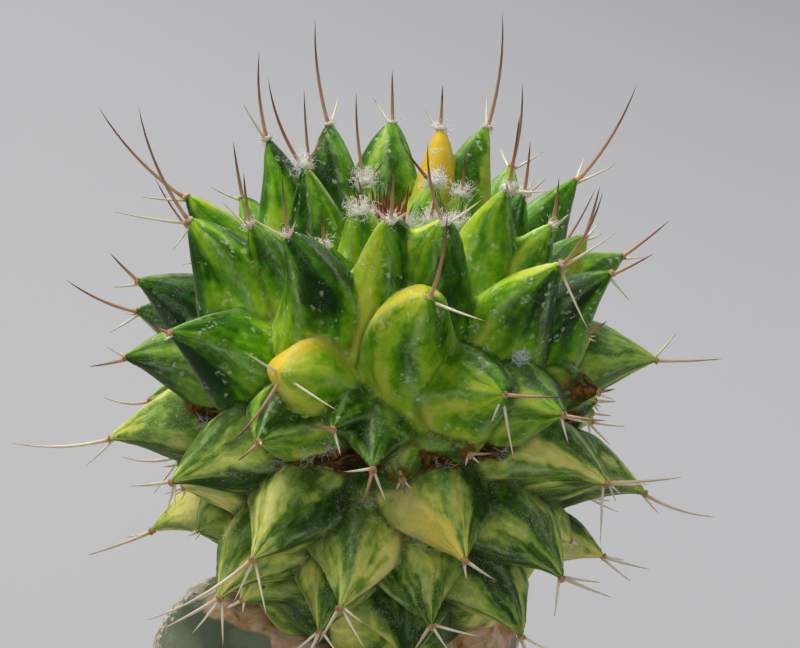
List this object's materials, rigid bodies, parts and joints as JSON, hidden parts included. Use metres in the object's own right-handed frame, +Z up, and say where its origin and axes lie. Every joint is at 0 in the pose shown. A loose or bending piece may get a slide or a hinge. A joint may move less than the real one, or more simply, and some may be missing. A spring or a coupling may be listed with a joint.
{
  "type": "potted grafted mother of hundreds cactus",
  "caption": "Small variegated cactus head of pointed, spined tubercles, grafted on a three-ribbed stem that stands in gravel in a plain clay pot with drain holes.",
  "frame": {"origin": "middle of the underside of the pot, on the surface it stands on", "axes": "+Z up through pot and plant; the picture looks along +Y, from 20 degrees above, with +X to the right"},
  "size_m": [0.0735, 0.072, 0.1583],
  "materials": {
    "clay": "unglazed, matte, with pale mineral bloom",
    "soil": "crumbly peat and grit",
    "gravel": "matte, mixed tan, grey and ochre pebbles",
    "rootstock_skin": "waxy grey-green skin with corky rib edges and a callused cut",
    "scion_skin": "glossy green skin streaked with yellow, pale flecks, stiff brown and cream spines"
  },
  "bodies": {
    "root": {"pot": "clay", "soil": "soil", "gravel": "gravel", "rootstock": "rootstock_skin", "scion": "scion_skin"}
  },
  "joints": []
}
